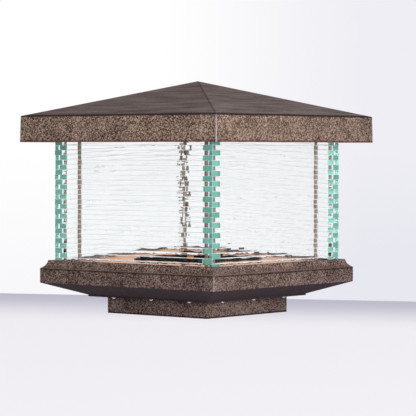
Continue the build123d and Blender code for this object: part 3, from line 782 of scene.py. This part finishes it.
class LANTERN_OT_lamp(bpy.types.Operator):
    """Make the lamp with its envelope and filament, and dress its holder, pins and wiring"""
    bl_idname = "lantern.lamp"
    bl_label = "Lamp"

    around = 32
    crown_rings = 9
    coil_turns = 9
    coil_steps = 90

    def execute(self, context):
        self.make_envelope(context.scene.lantern_sizes)
        self.make_filament(context.scene.lantern_sizes)
        dress(finish(glazed_steatite), "lamp_holder")
        dress(finish(nickel_plate), "lamp_pins")
        dress(finish(silicone_lead), "lamp_leads")
        dress(finish(moulded_polypropylene), "wire_connectors")
        return {"FINISHED"}

    def make_envelope(self, sizes):
        """Drawn glass bulb, pinched flat at its foot, with the pip where it was sealed off."""
        low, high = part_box("lamp_capsule")
        middle = (low + high) / 2
        radius = (high.x - low.x) / 2
        flat = radius * 0.55
        crown = high.z - radius
        pip = 0.1 * radius
        # Each ring: half width, half depth, height and squareness
        rows = [
            (0.9 * radius, 0.9 * flat, low.z, 6),
            (radius, flat, low.z + pip, 6),
            (radius, flat, low.z + 0.75 * sizes.pinch, 6),
            (radius, 0.8 * radius, low.z + 1.15 * sizes.pinch, 3),
            (radius, radius, low.z + 1.5 * sizes.pinch, 2),
            (radius, radius, crown, 2),
        ]
        for step in range(1, self.crown_rings):
            turn = step / self.crown_rings * math.pi / 2
            reach = radius * math.cos(turn)
            rows.append((reach, reach, crown + (radius - pip) * math.sin(turn), 2))
        rows += [(1.4 * pip, 1.4 * pip, high.z - 0.6 * pip, 2), (0.7 * pip, 0.7 * pip, high.z, 2)]
        rings = []
        for width, depth, height, square in rows:
            ring = []
            for step in range(self.around):
                turn = FULL_TURN * step / self.around
                across, along = math.cos(turn), math.sin(turn)
                ring.append((math.copysign(width * abs(across) ** (2 / square), across),
                             math.copysign(depth * abs(along) ** (2 / square), along), height))
            rings.append(ring)
        work = bmesh.new()
        add_tube(work, rings, Matrix.Translation((middle.x, middle.y, 0)))
        mesh = mesh_from(work, "lamp_envelope", sharp_degrees=50)
        envelope = new_piece("lamp_envelope", mesh, "lamp", "amber_envelope", finish(amber_glass))
        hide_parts("lamp_capsule")

    def make_filament(self, sizes):
        """Coil on its two legs, which come up out of the pinch."""
        low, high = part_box("lamp_capsule")
        middle = (low + high) / 2
        foot, level = low.z + 0.6 * sizes.pinch, low.z + 2.2 * sizes.pinch
        half, radius = sizes.coil / 2, sizes.coil / 6
        path = [(-half, 0, foot), (-half, 0, level - radius)]
        for step in range(self.coil_steps + 1):
            share = step / self.coil_steps
            turn = FULL_TURN * self.coil_turns * share
            path.append((half * (2 * share - 1), radius * math.sin(turn), level - radius * math.cos(turn)))
        path += [(half, 0, level - radius), (half, 0, foot)]
        curve = bpy.data.curves.new("lamp_filament", "CURVE")
        curve.dimensions = "3D"
        curve.bevel_depth = sizes.coil_wire
        curve.bevel_resolution = 2
        wire = curve.splines.new("POLY")
        wire.points.add(len(path) - 1)
        for point, (x, y, z) in zip(wire.points, path):
            point.co = (middle.x + x, middle.y + y, z, 1)
        new_piece("lamp_filament", curve, "lamp", "pin_metal", finish(drawn_tungsten))


class LANTERN_OT_fasteners(bpy.types.Operator):
    """Dress the screws and nuts"""
    bl_idname = "lantern.fasteners"
    bl_label = "Fasteners"

    def execute(self, context):
        screws = ["foot_screws", "floor_screws", "moulding_screws", "lamp_screws", "set_screws"]
        dress(finish(stainless_steel), *screws)
        dress(finish(zinc_plated_steel), "foot_nuts")
        return {"FINISHED"}


class LANTERN_OT_stage(bpy.types.Operator):
    """Set the pale floor, the white backdrop, the soft lights and the camera"""
    bl_idname = "lantern.stage"
    bl_label = "Stage"

    def execute(self, context):
        self.set_floor(context)
        self.set_backdrop(context)
        self.set_lights(context)
        self.set_camera(context)
        context.scene.view_settings.view_transform = "Standard"
        return {"FINISHED"}

    def set_floor(self, context):
        """Lay the floor, with its back edge turned a little against the camera."""
        stage = context.scene.lantern_stage
        side, front, back = stage.floor_side, -stage.floor_front, stage.floor_back
        mesh = bpy.data.meshes.new("floor")
        corners = [(-side, front, 0), (side, front, 0), (side, back, 0), (-side, back, 0)]
        mesh.from_pydata(corners, [], [(0, 1, 2, 3)])
        mesh.materials.append(finish(pale_floor))
        floor = bpy.data.objects.new("floor", mesh)
        floor.location.z = -stage.floor_drop
        floor.rotation_euler.z = stage.azimuth - stage.floor_turn
        context.scene.collection.objects.link(floor)

    def set_backdrop(self, context):
        """Put white behind the lantern, the room's brown round it, and a dim even light on what is matt."""
        stage = context.scene.lantern_stage
        tones = context.scene.lantern_colours
        world = bpy.data.worlds.new("studio")
        world.use_nodes = True
        world.node_tree.nodes.clear()
        add = partial(node, world.node_tree)
        turn = Matrix.Rotation(stage.azimuth, 3, "Z")
        toward = add("ShaderNodeTexCoord").outputs["Generated"]
        ray = add("ShaderNodeLightPath")

        # The white has a pale shade low down and at the right, and less of it shows through glass.
        side = add("ShaderNodeVectorMath", {"operation": "DOT_PRODUCT"}, {0: toward, 1: turn.col[0]})
        right = add("ShaderNodeMapRange", inputs={
            "Value": side, "From Min": -0.02, "From Max": 0.07, "To Max": 0.75})
        height = add("ShaderNodeSeparateXYZ", inputs={"Vector": toward})
        lower = add("ShaderNodeMapRange", inputs={
            "Value": height.outputs["Z"], "From Min": 0.0, "From Max": -0.065, "To Max": 0.35})
        whole = add("ShaderNodeMath", {"operation": "ADD", "use_clamp": True}, {0: right, 1: lower})
        kept = add("ShaderNodeMapRange", inputs={
            "Value": ray.outputs["Is Transmission Ray"], "To Min": 1.0, "To Max": 0.4})
        shade = add("ShaderNodeMath", {"operation": "MULTIPLY"}, {0: whole, 1: kept})
        tint = add("ShaderNodeMix", RGBA, {"Factor": shade, "A": tones.backdrop, "B": tones.backdrop_shade})

        # Light mirrored on its way comes from the white backdrop behind the lantern, or from the room.
        depth = add("ShaderNodeVectorMath", {"operation": "DOT_PRODUCT"}, {0: toward, 1: turn.col[1]})
        behind = add("ShaderNodeMapRange", SMOOTH, {"Value": depth, "From Min": 0.5, "From Max": 0.9})

        # Light on its way to a matt surface is the dim light of the room, with or without glass between.
        diffused = add("ShaderNodeMath", {"operation": "MINIMUM"}, {0: ray.outputs["Diffuse Depth"], 1: 1.0})
        turned = add("ShaderNodeMath", {"operation": "MINIMUM"}, {0: ray.outputs["Glossy Depth"], 1: 1.0})
        less = {"operation": "SUBTRACT", "use_clamp": True}
        bounced = add("ShaderNodeMath", less, {0: turned, 1: diffused})
        mirrored = add("ShaderNodeMath", {"operation": "MULTIPLY"}, {0: bounced, 1: behind})
        through = add("ShaderNodeMath", less, {0: ray.outputs["Is Transmission Ray"], 1: diffused})
        straight = add("ShaderNodeMath", less, {0: through, 1: bounced})
        seen = ray.outputs["Is Camera Ray"]
        for share in (mirrored, straight):
            seen = add("ShaderNodeMath", {"operation": "MAXIMUM"}, {0: seen, 1: share})

        dim = add("ShaderNodeBackground", inputs={"Color": tones.backdrop, "Strength": stage.ambient})
        room = add("ShaderNodeBackground", inputs={"Color": tones.room, "Strength": 1.0})
        white = add("ShaderNodeBackground", inputs={"Color": tint, "Strength": 1.0})
        unseen = add("ShaderNodeMixShader", inputs={0: bounced, 1: dim, 2: room})
        mixed = add("ShaderNodeMixShader", inputs={0: seen, 1: unseen, 2: white})
        add("ShaderNodeOutputWorld", inputs={"Surface": mixed})
        context.scene.world = world

    def set_lights(self, context):
        """Set two large soft lights, the strong one at the right and the weak one at the left."""
        stage = context.scene.lantern_stage
        aim = Vector((0, 0, stage.aim_height))
        soft_lights = [
            ("key", stage.key_power, stage.key_spot, stage.key_side),
            ("fill", stage.fill_power, stage.fill_spot, stage.fill_side),
        ]
        for name, power, spot, side in soft_lights:
            light = bpy.data.lights.new(name, "AREA")
            light.energy = power
            light.size = side
            lamp = bpy.data.objects.new(name, light)
            lamp.location = spot
            lamp.rotation_euler = (aim - Vector(spot)).to_track_quat("-Z", "Y").to_euler()
            # Glass lets the lights' shadow rays through, so they aren't counted a second time behind it.
            lamp.visible_transmission = False
            context.scene.collection.objects.link(lamp)

    def set_camera(self, context):
        """Stand the camera before the lantern's near corner, a little above its middle."""
        stage = context.scene.lantern_stage
        camera = bpy.data.cameras.new("camera")
        camera.sensor_width = stage.sensor
        camera.lens = stage.focal_pixels * stage.sensor / PHOTO_SIDE
        eye = bpy.data.objects.new("camera", camera)
        turn = Matrix.Rotation(stage.azimuth, 4, "Z")
        spot = turn @ Vector((stage.eye_side, -stage.distance, stage.eye_height))
        tilt = Matrix.Rotation(math.pi / 2 - stage.pitch, 4, "X")
        lean = Matrix.Rotation(stage.roll, 4, "Z")
        eye.matrix_world = Matrix.Translation(spot) @ turn @ tilt @ lean
        context.scene.collection.objects.link(eye)
        context.scene.camera = eye


OPERATORS = (
    LANTERN_OT_roof,
    LANTERN_OT_base,
    LANTERN_OT_glass,
    LANTERN_OT_seals,
    LANTERN_OT_rods,
    LANTERN_OT_floor_plate,
    LANTERN_OT_lamp,
    LANTERN_OT_fasteners,
    LANTERN_OT_stage,
)


class LANTERN_PT_panel(bpy.types.Panel):
    """Lists the lantern's pieces"""
    bl_idname = "LANTERN_PT_panel"
    bl_label = "Deck lantern"
    bl_space_type = "VIEW_3D"
    bl_region_type = "UI"
    bl_category = "Lantern"

    def draw(self, context):
        for operator in OPERATORS:
            self.layout.operator(operator.bl_idname)


GROUPS = {"lantern_sizes": LanternSizes, "lantern_colours": LanternColours, "lantern_stage": StageSettings}
CLASSES = (*GROUPS.values(), *OPERATORS, LANTERN_PT_panel)


def register():
    for item in CLASSES:
        bpy.utils.register_class(item)
    for name, group in GROUPS.items():
        setattr(bpy.types.Scene, name, bpy.props.PointerProperty(type=group))


def unregister():
    for name in GROUPS:
        delattr(bpy.types.Scene, name)
    for item in reversed(CLASSES):
        bpy.utils.unregister_class(item)


def main():
    register()
    bpy.ops.lantern.roof()
    bpy.ops.lantern.base()
    bpy.ops.lantern.glass()
    bpy.ops.lantern.seals()
    bpy.ops.lantern.rods()
    bpy.ops.lantern.floor_plate()
    bpy.ops.lantern.lamp()
    bpy.ops.lantern.fasteners()
    bpy.ops.lantern.stage()


if __name__ == "__main__":
    main()
